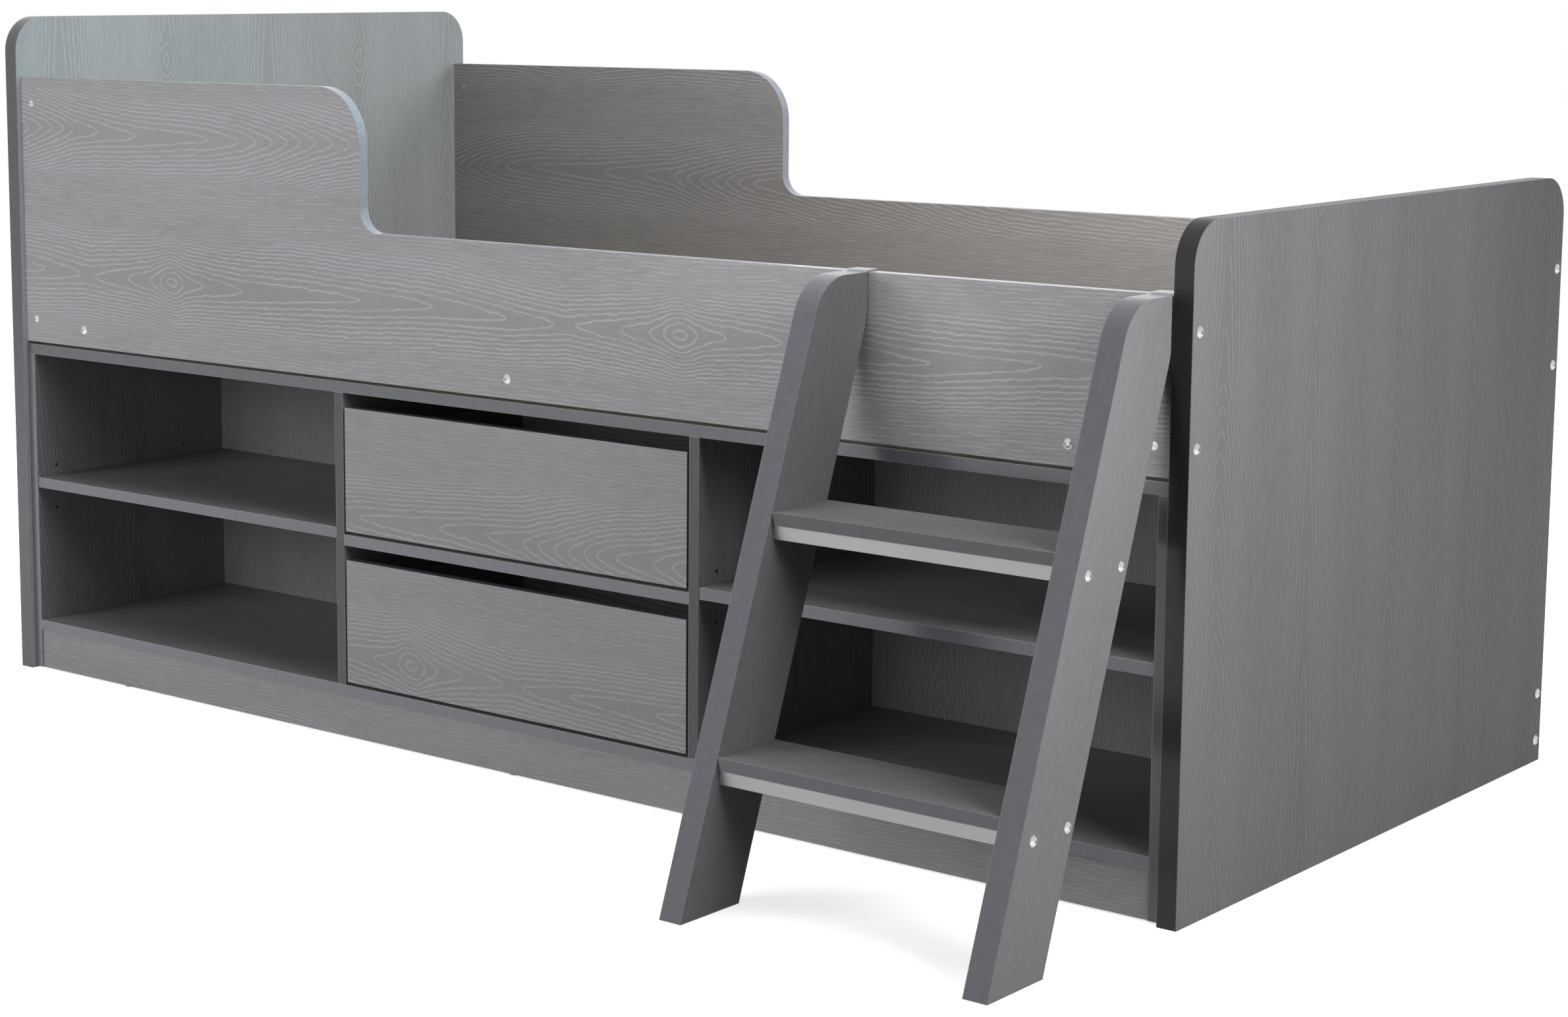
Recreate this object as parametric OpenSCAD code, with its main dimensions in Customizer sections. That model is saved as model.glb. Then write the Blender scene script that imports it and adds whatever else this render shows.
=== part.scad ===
// Low sleeper bed with a storage cabinet and a hook-on ladder. Millimetres, +Z up.
// +X runs to the foot end, -Y to the ladder side. The origin is on the floor, under the middle.

/* [Bed frame] */
// Overall length over the two end panels
bed_l = 1960; // [1800:10:2160]
// Overall width of the end panels
bed_w = 953; // [900:1:1200]
// Thickness of the end panels
end_t = 24; // [18:1:32]
// Height of the head end panel
head_h = 967; // [930:1:1100]
// Height of the foot end panel
foot_h = 770; // [730:1:860]
// Radius of the top corners of the end panels
end_r = 50; // [20:5:80]

/* [Side rails] */
// Thickness of the side rails and of the lower stretcher
rail_t = 15; // [12:1:22]
// How far the rails stand back from the edges of the end panels
rail_inset = 7; // [3:1:20]
// Height of the underside of the side rails above the floor
rail_z = 493; // [470:1:530]
// Height of the low part of a side rail
rail_low_h = 197; // [150:1:225]
// Height of the guard part of a side rail
rail_guard_h = 387; // [340:1:420]
// Length of the guard part from the head panel
guard_l = 696; // [500:1:900]
// Radius of the top corner of the guard
guard_r = 75; // [40:5:100]
// Radius of the hollow corner where the guard meets the low part
hollow_r = 32; // [15:1:50]
// Height of the lower stretcher at the back
stretcher_h = 115; // [100:5:180]
// Height of the underside of the lower stretcher
stretcher_z = 3; // [1:1:40]

/* [Mattress support] */
// Width of a slat batten
batten_w = 25; // [20:1:40]
// Height of a slat batten
batten_h = 40; // [30:1:60]
// Height of a batten's underside above the underside of its rail
batten_up = 5; // [0:1:20]
// Number of slats
slat_n = 14; // [8:1:18]
// Width of a slat
slat_w = 70; // [50:1:80]
// Thickness of a slat
slat_t = 12; // [10:1:20]
// Space between the ends of a slat and the side rails
slat_play = 2; // [1:0.5:6]

/* [Cabinet] */
// Thickness of the cabinet boards
board_t = 15; // [12:1:18]
// Depth of the cabinet boards
cab_d = 368; // [330:1:420]
// Space between the cabinet and each end panel
cab_play = 0.5; // [0.3:0.1:0.9]
// Space between the top of the cabinet and the side rail
cab_gap = 4; // [2:1:12]
// Thickness of the back panel
back_t = 3; // [3:0.5:6]
// Height of the plinth boards
plinth_h = 57; // [45:1:80]
// How far the front plinth stands back
plinth_back = 2; // [1:1:20]
// Thickness of the floor glides
glide_h = 2.5; // [2:0.5:5]
// Diameter of the floor glides
glide_d = 14; // [8:1:14]
// Distance of the outer glides from the ends of the cabinet
glide_in = 200; // [80:10:300]
// Width of the bay that holds the drawers
drawer_bay_w = 594; // [480:1:680]
// Height of the tops of the two open shelves
shelf_z = 290; // [240:1:330]
// Space between an open shelf and the boards at its sides
shelf_play = 1; // [0.5:0.5:2]
// How far the open shelves stop short of the front
shelf_back = 1; // [0:1:20]
// Diameter of the shelf pins
pin_d = 5; // [4:0.5:6]

/* [Drawers] */
// Height of a drawer front
front_h = 168; // [150:1:175]
// Space below a drawer front
front_gap = 4.5; // [3:0.5:8]
// Space at each side of a drawer front
front_side_gap = 3.5; // [2:0.5:5]
// Thickness of a drawer front
front_t = 15; // [12:1:18]
// Depth of a drawer box behind its front
box_d = 338; // [300:1:345]
// Height of the sides of a drawer box
box_h = 130; // [110:1:140]
// Thickness of the sides and back of a drawer box
box_t = 12; // [10:1:16]
// Thickness of a drawer base
base_t = 4; // [3:0.5:6]
// Height of a drawer base above the bottom edge of the sides
base_up = 10; // [8:1:15]
// Depth of the groove that holds a drawer base
base_groove = 5; // [3:0.5:6]
// Space between a drawer side and the board beside it
box_gap = 5; // [4:0.5:8]
// Height of a drawer runner
runner_h = 16; // [12:1:20]
// Depth of the groove in a drawer side for its runner
runner_groove = 6; // [4:0.5:6]
// Height of the middle of a runner above the bottom of a drawer side
runner_up = 65; // [50:1:80]
// Clearance of a runner in its groove
runner_play = 0.4; // [0.3:0.1:1]

/* [Ladder] */
// Width over the two stringers
ladder_w = 426; // [360:1:520]
// Space between the outer stringer and the foot panel
ladder_end = 2; // [1:1:60]
// Thickness of a stringer
stringer_t = 30; // [22:1:36]
// Depth of a stringer, measured level
stringer_d = 104; // [90:1:130]
// How far below the rail's top the back of a stringer turns upright
ladder_bend = 53.5; // [45:0.5:120]
// Lean of the stringers from upright, in degrees
ladder_lean = 20; // [17:0.5:22]
// Radius of the top front corner of a stringer
stringer_r = 60; // [30:5:70]
// Radius where the back of a stringer turns upright
stringer_bend = 110; // [60:10:120]
// Height of the top of the lower tread
tread_1_z = 175.5; // [140:0.5:200]
// Height of the top of the upper tread
tread_2_z = 436; // [400:0.5:470]
// Thickness of a tread
tread_t = 15; // [12:1:22]
// Height of a tread bar
bar_h = 16; // [12:1:22]
// Depth of a tread bar
bar_d = 26; // [20:1:30]
// How far the front tread bar stands back from the edge of its tread
bar_front = 3; // [1:1:8]
// How far the rear tread bar stands back from the edge of its tread
bar_rear = 9; // [3:1:12]
// Thickness of the hook metal
hook_t = 2; // [1.5:0.5:3]
// Width of a hook
hook_w = 28; // [20:1:30]
// Length of the lip behind the rail
hook_lip = 24; // [15:1:40]
// Length of the leg that is screwed to the stringer
hook_leg = 30; // [26:1:32]
// Space between the hook's lip and the rail
hook_play = 2; // [1:0.5:5]

/* [Fixings] */
// Diameter of the bolts
bolt_d = 6; // [5:0.5:7]
// Diameter of a bolt head
bolt_head_d = 13; // [11:0.5:15]
// Height of a bolt head
bolt_head_h = 3.5; // [2.5:0.5:5]
// Distance of a barrel nut from the end panel
nut_in = 23; // [18:1:34]
// Diameter of a barrel nut
nut_d = 10; // [9:0.5:11]
// Height of the lower frame bolts above the underside of the rail
bolt_low_up = 34; // [25:1:60]
// Distance of the upper frame bolts below the top of the rail
bolt_high_down = 38; // [25:1:60]
// Distance of the outer batten bolts from the end panels
batten_bolt_in = 130; // [80:5:200]
// Diameter of the wood screws
screw_d = 4; // [3:0.5:4.5]
// Diameter of a wood screw's head
screw_head_d = 8; // [6:0.5:9]
// Clearance between pieces that move on each other
fit = 0.3; // [0.3:0.1:0.6]

/* [Hidden] */
$fn = 48;
bite = 14;          // length of thread beyond the piece that is held
over = 1;           // how far a cut runs past a face
bore_play = 0.2;    // how much wider a bore is than its bolt, nut or pin
screw_head_h = 2.4;
head_play = 0.1;    // how much deeper the seat of a screw's head is than the head
hex_d = 4.6;        // socket of a bolt head, across its corners
hex_deep = 2;
dome_d = 1.27;      // dome of a bolt head: its diameter and its middle, in head diameters
dome_mid = 0.62;
stretcher_bolt_in = 26;
screw_in = 50;      // distance of the cabinet screws from the front and back edges
plinth_screw_down = 18;
arc_steps = 16;
lean = tan(ladder_lean);
nut_l = rail_t - 2; // length of a barrel nut
nut_slot = 1.5;     // slot in its end
nut_slot_deep = 1;

// Places along X, from the outer face of the head panel
in_x0 = end_t;
in_x1 = bed_l - end_t;
in_l = in_x1 - in_x0;
cab_x0 = in_x0 + cab_play;
cab_x1 = in_x1 - cab_play;
bay_x0 = (cab_x0 + cab_x1 - drawer_bay_w) / 2;
bay_x1 = bay_x0 + drawer_bay_w;
lad_x1 = in_x1 - ladder_end;
lad_x0 = lad_x1 - ladder_w;

// Places along Y, from the front edges of the end panels
rail_y = rail_inset;
back_y = bed_w - rail_inset - rail_t;
cab_y = rail_y;
cab_y1 = cab_y + cab_d;
plinth_y = cab_y + plinth_back;
rear_plinth_y = cab_y1 - board_t;
box_y0 = cab_y + front_t;
box_y1 = box_y0 + box_d;
slat_y0 = rail_y + rail_t + slat_play;
slat_y1 = back_y - slat_play;
leg_y = rail_y - fit - hook_t;      // back face of the stringers
bend_z = rail_z + rail_low_h - ladder_bend;
function rear_y(z) = leg_y - (bend_z - z) * lean;
function front_y(z) = rear_y(z) - stringer_d;
ladder_out = -front_y(0);

// Heights
rail_low_z = rail_z + rail_low_h;
rail_top_z = rail_z + rail_guard_h;
batten_z = rail_z + batten_up;
slat_z = batten_z + batten_h;
batten_bolt_z = batten_z + batten_h / 2;
cab_z1 = rail_z - cab_gap;
top_z = cab_z1 - board_t;
floor_z = glide_h + plinth_h;
bay_z0 = floor_z + board_t;
mid_z = (bay_z0 + top_z - board_t) / 2;
drawer_z = [bay_z0, mid_z + board_t];   // floors of the drawer openings
box_up = front_gap + 8;             // underside of a drawer side over its floor
runner_z = [for (z = drawer_z) z + box_up + runner_up];
frame_bolt_z = [rail_z + bolt_low_up, rail_low_z - bolt_high_down];
guard_bolt_z = [rail_z + bolt_low_up, rail_top_z - bolt_high_down];
stretcher_bolt_z = [stretcher_z + stretcher_bolt_in, stretcher_z + stretcher_h - stretcher_bolt_in];
tread_z = [tread_1_z, tread_2_z];

// Colours as the photograph shows them
grey_foil = [0.56, 0.55, 0.56];
dark_foil = [0.42, 0.42, 0.44];
pine = [0.80, 0.68, 0.50];
zinc = [0.78, 0.79, 0.80];
silver = [0.70, 0.69, 0.70];
hardboard = [0.45, 0.44, 0.44];
plastic = [0.86, 0.85, 0.82];

// Moves a piece from the bed's own corner to the middle of the floor space
module seat() translate([-bed_l / 2, (ladder_out - bed_w) / 2, 0]) children();

// A box between two corners
module block(a, b) translate(a) cube(b - a);

// Turns an outline in Y and Z into a board whose thickness runs along X
module board_x(x, t) translate([x, 0, 0]) rotate([90, 0, 90]) linear_extrude(t) children();

// Turns an outline in X and Z into a board whose thickness runs along Y
module board_y(y, t) translate([0, y + t, 0]) rotate([90, 0, 0]) linear_extrude(t) children();

// Points of an arc of radius r that rounds the corner v between the points a and b
function unit(v) = v / norm(v);
function round_corner(a, v, b, r) =
    let (u = unit(a - v), w = unit(b - v), half = acos(u * w) / 2,
         c = v + unit(u + w) * r / sin(half),
         p = v + u * r / tan(half) - c, q = v + w * r / tan(half) - c,
         start = atan2(p.y, p.x), raw = atan2(q.y, q.x) - start,
         sweep = raw > 180 ? raw - 360 : raw < -180 ? raw + 360 : raw)
    [for (i = [0:arc_steps]) c + r * [cos(start + sweep * i / arc_steps), sin(start + sweep * i / arc_steps)]];

// Fixings that point along +Z from the face that their head sits on
module bolt(l) {
    translate([0, 0, -bolt_head_h]) difference() {
        intersection() {
            cylinder(d = bolt_head_d, h = bolt_head_h);
            translate([0, 0, bolt_head_d * dome_mid]) sphere(d = bolt_head_d * dome_d);
        }
        translate([0, 0, -over]) cylinder(d = hex_d, h = hex_deep + over, $fn = 6);
    }
    cylinder(d = bolt_d, h = l);
}
module bolt_bore(l) translate([0, 0, -over]) cylinder(d = bolt_d + bore_play, h = l + 1.5 * over);
module screw(l) {
    cylinder(d1 = screw_head_d, d2 = screw_d, h = screw_head_h);
    cylinder(d = screw_d, h = l);
}
module screw_bore(l) {
    translate([0, 0, -over]) cylinder(d = screw_head_d, h = over + head_play);
    translate([0, 0, head_play]) cylinder(d1 = screw_head_d, d2 = screw_d, h = screw_head_h);
    cylinder(d = screw_d, h = l);
}
module barrel_nut() difference() {
    cylinder(d = nut_d, h = nut_l);
    translate([0, 0, rail_t / 2]) rotate([0, 90, 0])
        cylinder(d = bolt_d + bore_play, h = nut_d * 2, center = true);
    translate([-nut_d, -nut_slot / 2, -nut_slot_deep]) cube([2 * nut_d, nut_slot, 2 * nut_slot_deep]);
}

// Places of the fixings
module at_frame_bolts() {
    for (z = guard_bolt_z, y = [rail_y, back_y])
        translate([0, y + rail_t / 2, z]) rotate([0, 90, 0]) children();
    for (z = frame_bolt_z, y = [rail_y, back_y])
        translate([bed_l, y + rail_t / 2, z]) rotate([0, -90, 0]) children();
    for (z = stretcher_bolt_z) {
        translate([0, back_y + rail_t / 2, z]) rotate([0, 90, 0]) children();
        translate([bed_l, back_y + rail_t / 2, z]) rotate([0, -90, 0]) children();
    }
}
module at_barrel_nuts() {
    for (z = guard_bolt_z) {
        translate([in_x0 + nut_in, rail_y, z]) rotate([-90, 0, 0]) children();
        translate([in_x0 + nut_in, back_y, z]) rotate([-90, 0, 0]) children();
    }
    for (z = frame_bolt_z) {
        translate([in_x1 - nut_in, rail_y, z]) rotate([-90, 0, 0]) children();
        translate([in_x1 - nut_in, back_y, z]) rotate([-90, 0, 0]) children();
    }
    for (z = stretcher_bolt_z, x = [in_x0 + nut_in, in_x1 - nut_in])
        translate([x, back_y, z]) rotate([-90, 0, 0]) children();
}
frame_bolt_l = end_t + nut_in + nut_d / 2 + 3;
module frame_bores() at_frame_bolts() bolt_bore(frame_bolt_l + over);
module nut_bores() at_barrel_nuts() translate([0, 0, -over]) cylinder(d = nut_d + bore_play, h = nut_l + over);

batten_bolt_x = [in_x0 + batten_bolt_in, (in_x0 + in_x1) / 2, in_x1 - batten_bolt_in];
module at_batten_bolts() for (x = batten_bolt_x) {
    translate([x, rail_y, batten_bolt_z]) rotate([-90, 0, 0]) children();
    translate([x, back_y + rail_t, batten_bolt_z]) rotate([90, 0, 0]) children();
}
batten_bolt_l = rail_t + batten_w - 3;
batten_nut_d = 9;
module batten_bores() at_batten_bolts() {
    bolt_bore(batten_bolt_l + over);
    translate([0, 0, rail_t + batten_w - bite]) cylinder(d = batten_nut_d + bore_play, h = bite + over);
}

// Frame of the bed
module end_outline(h) {
    square([bed_w, h - end_r]);
    translate([end_r, 0]) square([bed_w - 2 * end_r, h]);
    for (y = [end_r, bed_w - end_r]) translate([y, h - end_r]) circle(end_r, $fn = 96);
}
module end_panel(x, h) seat() color(grey_foil) difference() {
    board_x(x, end_t) end_outline(h);
    frame_bores();
}
module head_end_panel() end_panel(0, head_h);
module foot_end_panel() end_panel(in_x1, foot_h);

module rail_outline() difference() {
    union() {
        square([in_l, rail_low_h]);
        square([guard_l - guard_r, rail_guard_h]);
        square([guard_l, rail_guard_h - guard_r]);
        translate([guard_l - guard_r, rail_guard_h - guard_r]) circle(guard_r, $fn = 96);
        translate([guard_l - 1, rail_low_h - 1]) square(hollow_r + 1);
    }
    translate([guard_l + hollow_r, rail_low_h + hollow_r]) circle(hollow_r, $fn = 96);
}
module side_rail(y) seat() color(grey_foil) difference() {
    board_y(y, rail_t) translate([in_x0, rail_z]) rail_outline();
    frame_bores();
    nut_bores();
    batten_bores();
}
module front_side_rail() side_rail(rail_y);
module back_side_rail() side_rail(back_y);
module back_lower_stretcher() seat() color(grey_foil) difference() {
    block([in_x0, back_y, stretcher_z], [in_x1, back_y + rail_t, stretcher_z + stretcher_h]);
    frame_bores();
    nut_bores();
}

// Mattress support
batten_end = 1;     // space between a batten and the end panels
slat_pitch = (in_l - slat_w) / slat_n;
slat_x = [for (i = [0:slat_n - 1]) in_x0 + slat_pitch * (i + 0.5)];
module at_slat_screws() for (x = slat_x, y = [slat_y0 + batten_w / 2, slat_y1 - batten_w / 2])
    translate([x + slat_w / 2, y, slat_z + slat_t]) rotate([180, 0, 0]) children();
slat_screw_l = slat_t + bite;
module batten(y) seat() color(pine) difference() {
    block([in_x0 + batten_end, y, batten_z], [in_x1 - batten_end, y + batten_w, slat_z]);
    batten_bores();
    at_slat_screws() screw_bore(slat_screw_l);
}
module front_slat_batten() batten(rail_y + rail_t);
module back_slat_batten() batten(back_y - batten_w);
module slats() seat() color(pine) difference() {
    for (x = slat_x) block([x, slat_y0, slat_z], [x + slat_w, slat_y1, slat_z + slat_t]);
    at_slat_screws() screw_bore(slat_screw_l);
}
module slat_screws() seat() color(zinc) at_slat_screws() screw(slat_screw_l);
module frame_bolts() seat() color(zinc) at_frame_bolts() bolt(frame_bolt_l);
module frame_barrel_nuts() seat() color(zinc) at_barrel_nuts() barrel_nut();
module batten_bolts() seat() color(zinc) at_batten_bolts() bolt(batten_bolt_l);
module batten_nuts() seat() color(zinc) at_batten_bolts()
    translate([0, 0, rail_t + batten_w - bite]) difference() {
        cylinder(d = batten_nut_d, h = bite);
        translate([0, 0, -over]) cylinder(d = bolt_d + bore_play, h = bite + 2 * over);
    }

// Cabinet
upright_x = [cab_x0, bay_x0 - board_t, bay_x1, cab_x1 - board_t];
screw_y = [cab_y + screw_in, cab_y1 - screw_in];
cab_screw_l = board_t + 2 * bite;
module at_top_screws() for (x = upright_x, y = screw_y)
    translate([x + board_t / 2, y, cab_z1]) rotate([180, 0, 0]) children();
module at_bottom_screws() for (x = [upright_x[1], upright_x[2]], y = screw_y)
    translate([x + board_t / 2, y, floor_z]) children();
module at_side_screws() for (y = screw_y) {
    translate([cab_x0, y, floor_z + board_t / 2]) rotate([0, 90, 0]) children();
    translate([cab_x1, y, floor_z + board_t / 2]) rotate([0, -90, 0]) children();
}
module at_plinth_screws() for (y = [plinth_y, rear_plinth_y]) {
    translate([cab_x0, y + board_t / 2, floor_z - plinth_screw_down]) rotate([0, 90, 0]) children();
    translate([cab_x1, y + board_t / 2, floor_z - plinth_screw_down]) rotate([0, -90, 0]) children();
}
module at_cabinet_screws() {
    at_top_screws() children();
    at_bottom_screws() children();
    at_side_screws() children();
    at_plinth_screws() children();
}
module cabinet_bores() at_cabinet_screws() screw_bore(cab_screw_l);

dowel_d = 8;
dowel_l = 30;
dowel_in = 6;       // depth of a dowel in the divider
module at_shelf_dowels() for (y = screw_y) {
    translate([bay_x0 - dowel_in, y, mid_z + board_t / 2]) rotate([0, 90, 0]) children();
    translate([bay_x1 + dowel_in, y, mid_z + board_t / 2]) rotate([0, -90, 0]) children();
}
module dowel_bores() at_shelf_dowels() translate([0, 0, -0.2]) cylinder(d = dowel_d, h = dowel_l + 0.4);

pin_l = 16;
pin_in = 8;
pin_front = 36;     // distance of the front pins from the front edge
pin_rear = 80;      // distance of the rear pins from the back edge
pin_y = [cab_y + pin_front, cab_y1 - pin_rear];
pin_z = shelf_z - board_t - pin_d / 2;
module at_shelf_pins() for (y = pin_y) {
    translate([upright_x[0] + board_t - pin_in, y, pin_z]) rotate([0, 90, 0]) children();
    translate([upright_x[1] + pin_in, y, pin_z]) rotate([0, -90, 0]) children();
    translate([upright_x[2] + board_t - pin_in, y, pin_z]) rotate([0, 90, 0]) children();
    translate([upright_x[3] + pin_in, y, pin_z]) rotate([0, -90, 0]) children();
}
pin_pitch = 32;
module pin_bores() for (k = [-1, 0, 1]) translate([0, 0, k * pin_pitch])
    at_shelf_pins() cylinder(d = pin_d + bore_play, h = pin_in + over);

runner_screw_in = 60;
runner_screw_y = [cab_y + runner_screw_in, (cab_y + cab_y1) / 2, cab_y1 - runner_screw_in];
runner_screw_l = box_gap + runner_groove + 8;
runner_y0 = cab_y + front_t + 8;
runner_y1 = cab_y1 - 6;
runner_t = box_gap + runner_groove - 0.8;
module at_runner_screws() for (z = runner_z, y = runner_screw_y) {
    translate([bay_x0 + runner_t, y, z]) rotate([0, -90, 0]) children();
    translate([bay_x1 - runner_t, y, z]) rotate([0, 90, 0]) children();
}
module runner_bores() at_runner_screws() screw_bore(runner_screw_l);

module cabinet_side(x) seat() color(grey_foil) difference() {
    block([x, cab_y, glide_h], [x + board_t, cab_y1, top_z]);
    cabinet_bores();
    pin_bores();
}
module cabinet_divider(x) seat() color(grey_foil) difference() {
    block([x, cab_y, bay_z0], [x + board_t, cab_y1, top_z]);
    cabinet_bores();
    pin_bores();
    dowel_bores();
    runner_bores();
}
module cabinet_top() seat() color(grey_foil) difference() {
    block([cab_x0, cab_y, top_z], [cab_x1, cab_y1, cab_z1]);
    cabinet_bores();
}
module cabinet_bottom() seat() color(grey_foil) difference() {
    block([cab_x0 + board_t, cab_y, floor_z], [cab_x1 - board_t, cab_y1, bay_z0]);
    cabinet_bores();
}
module cabinet_left_side() cabinet_side(upright_x[0]);
module cabinet_right_side() cabinet_side(upright_x[3]);
module cabinet_left_divider() cabinet_divider(upright_x[1]);
module cabinet_right_divider() cabinet_divider(upright_x[2]);
module open_shelf(x0, x1) seat() color(grey_foil)
    block([x0 + board_t + shelf_play, cab_y + shelf_back, shelf_z - board_t],
        [x1 - shelf_play, cab_y1 - 1, shelf_z]);
module left_shelf() open_shelf(upright_x[0], upright_x[1]);
module right_shelf() open_shelf(upright_x[2], upright_x[3]);
module drawer_shelf() seat() color(grey_foil) difference() {
    block([bay_x0, cab_y, mid_z], [bay_x1, cab_y1, mid_z + board_t]);
    dowel_bores();
}
glide_pin_d = 3;
glide_pin_l = 10;
glide_x = [cab_x0 + glide_in, (cab_x0 + cab_x1) / 2, cab_x1 - glide_in];
module at_glides() for (x = glide_x, y = [plinth_y, rear_plinth_y])
    translate([x, y + board_t / 2, 0]) children();
module plinth(y) seat() color(grey_foil) difference() {
    block([cab_x0 + board_t, y, glide_h], [cab_x1 - board_t, y + board_t, floor_z]);
    cabinet_bores();
    at_glides() cylinder(d = glide_pin_d, h = glide_h + glide_pin_l);
}
module cabinet_front_plinth() plinth(plinth_y);
module cabinet_rear_plinth() plinth(rear_plinth_y);
module cabinet_back_panel() seat() color(hardboard)
    block([cab_x0 + 1, cab_y1, floor_z + 2], [cab_x1 - 1, cab_y1 + back_t, cab_z1 - 2]);
module shelf_pins() seat() color(zinc) at_shelf_pins() cylinder(d = pin_d, h = pin_l);
module cabinet_screws() seat() color(zinc) at_cabinet_screws() screw(cab_screw_l);
module drawer_shelf_dowels() seat() color(pine) at_shelf_dowels() cylinder(d = dowel_d, h = dowel_l);
module floor_glides() seat() color(plastic) at_glides() {
    cylinder(d1 = glide_d * 0.8, d2 = glide_d, h = glide_h);
    cylinder(d = glide_pin_d, h = glide_h + glide_pin_l);
}
module drawer_runners(z) seat() color(plastic) difference() {
    union() {
        block([bay_x0, runner_y0, z - runner_h / 2], [bay_x0 + runner_t, runner_y1, z + runner_h / 2]);
        block([bay_x1 - runner_t, runner_y0, z - runner_h / 2], [bay_x1, runner_y1, z + runner_h / 2]);
    }
    runner_bores();
}
module lower_drawer_runners() drawer_runners(runner_z[0]);
module upper_drawer_runners() drawer_runners(runner_z[1]);
module runner_screws() seat() color(zinc) at_runner_screws() screw(runner_screw_l);

// Drawers
base_play = 0.1;    // space over and under a drawer base in its groove
base_end = 0.3;     // space between a drawer base and the floor of its groove
box_x0 = bay_x0 + box_gap;
box_x1 = bay_x1 - box_gap;
base_x0 = box_x0 + box_t - base_groove + base_end;
base_x1 = box_x1 - box_t + base_groove - base_end;
drawer_screw_l = box_t + 2 * bite;
function base_bottom(z) = z + box_up + base_up;
function base_top(z) = base_bottom(z) + base_t;
back_screw_up = 22;
back_screw_down = 25;
front_screw_up = 35;
front_screw_down = 30;
module at_drawer_screws(z) {
    for (h = [base_up + back_screw_up, box_h - back_screw_down]) {
        translate([box_x0, box_y1 - box_t / 2, z + box_up + h]) rotate([0, 90, 0]) children();
        translate([box_x1, box_y1 - box_t / 2, z + box_up + h]) rotate([0, -90, 0]) children();
    }
}
block_w = 18;
block_down = 12;    // distance of a block's top below the top edge of the sides
back_down = 8;      // distance of a drawer back's top below the top edge of the sides
front_screw_l = block_w + 10;
module at_front_screws(z)
    for (x = [box_x0 + box_t + block_w / 2, box_x1 - box_t - block_w / 2],
         h = [front_screw_up, box_h - front_screw_down])
        translate([x, box_y0 + block_w, z + box_up + h]) rotate([90, 0, 0]) children();
module drawer_corner_blocks(z) seat() color(plastic) difference() {
    for (x = [box_x0 + box_t, box_x1 - box_t - block_w])
        block([x, box_y0, base_top(z) + base_play],
            [x + block_w, box_y0 + block_w, z + box_up + box_h - block_down]);
    at_front_screws(z) screw_bore(front_screw_l);
}
module drawer_front(z) seat() color(grey_foil) difference() {
    block([bay_x0 + front_side_gap, cab_y, z + front_gap],
        [bay_x1 - front_side_gap, cab_y + front_t, z + front_gap + front_h]);
    block([base_x0 - base_end, box_y0 - base_groove, base_bottom(z) - base_play],
        [base_x1 + base_end, box_y0 + over, base_top(z) + base_play]);
    at_front_screws(z) screw_bore(front_screw_l);
}
module drawer_side(z, x, groove_x, runner_x) seat() color(grey_foil) difference() {
    block([x, box_y0, z + box_up], [x + box_t, box_y1, z + box_up + box_h]);
    block([groove_x, box_y0 - over, base_bottom(z) - base_play],
        [groove_x + base_groove + over, box_y1 + over, base_top(z) + base_play]);
    block([runner_x, runner_y0 - 3, z + box_up + runner_up - runner_h / 2 - runner_play],
        [runner_x + runner_groove + over, box_y1 + over, z + box_up + runner_up + runner_h / 2 + runner_play]);
    at_drawer_screws(z) screw_bore(drawer_screw_l);
}
module drawer_left_side(z) drawer_side(z, box_x0, box_x0 + box_t - base_groove, box_x0 - 1);
module drawer_right_side(z) drawer_side(z, box_x1 - box_t, box_x1 - box_t - 1, box_x1 - runner_groove);
module drawer_back(z) seat() color(grey_foil) difference() {
    block([box_x0 + box_t, box_y1 - box_t, base_top(z) + base_play],
        [box_x1 - box_t, box_y1, z + box_up + box_h - back_down]);
    at_drawer_screws(z) screw_bore(drawer_screw_l);
}
module drawer_base(z) seat() color(hardboard)
    block([base_x0, box_y0 - base_groove + base_end, base_bottom(z)], [base_x1, box_y1, base_top(z)]);
module drawer_screws(z) seat() color(zinc) {
    at_drawer_screws(z) screw(drawer_screw_l);
    at_front_screws(z) screw(front_screw_l);
}

module lower_drawer_front() drawer_front(drawer_z[0]);
module lower_drawer_left_side() drawer_left_side(drawer_z[0]);
module lower_drawer_right_side() drawer_right_side(drawer_z[0]);
module lower_drawer_back() drawer_back(drawer_z[0]);
module lower_drawer_base() drawer_base(drawer_z[0]);
module lower_drawer_corner_blocks() drawer_corner_blocks(drawer_z[0]);
module lower_drawer_screws() drawer_screws(drawer_z[0]);
module upper_drawer_front() drawer_front(drawer_z[1]);
module upper_drawer_left_side() drawer_left_side(drawer_z[1]);
module upper_drawer_right_side() drawer_right_side(drawer_z[1]);
module upper_drawer_back() drawer_back(drawer_z[1]);
module upper_drawer_base() drawer_base(drawer_z[1]);
module upper_drawer_corner_blocks() drawer_corner_blocks(drawer_z[1]);
module upper_drawer_screws() drawer_screws(drawer_z[1]);

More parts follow.
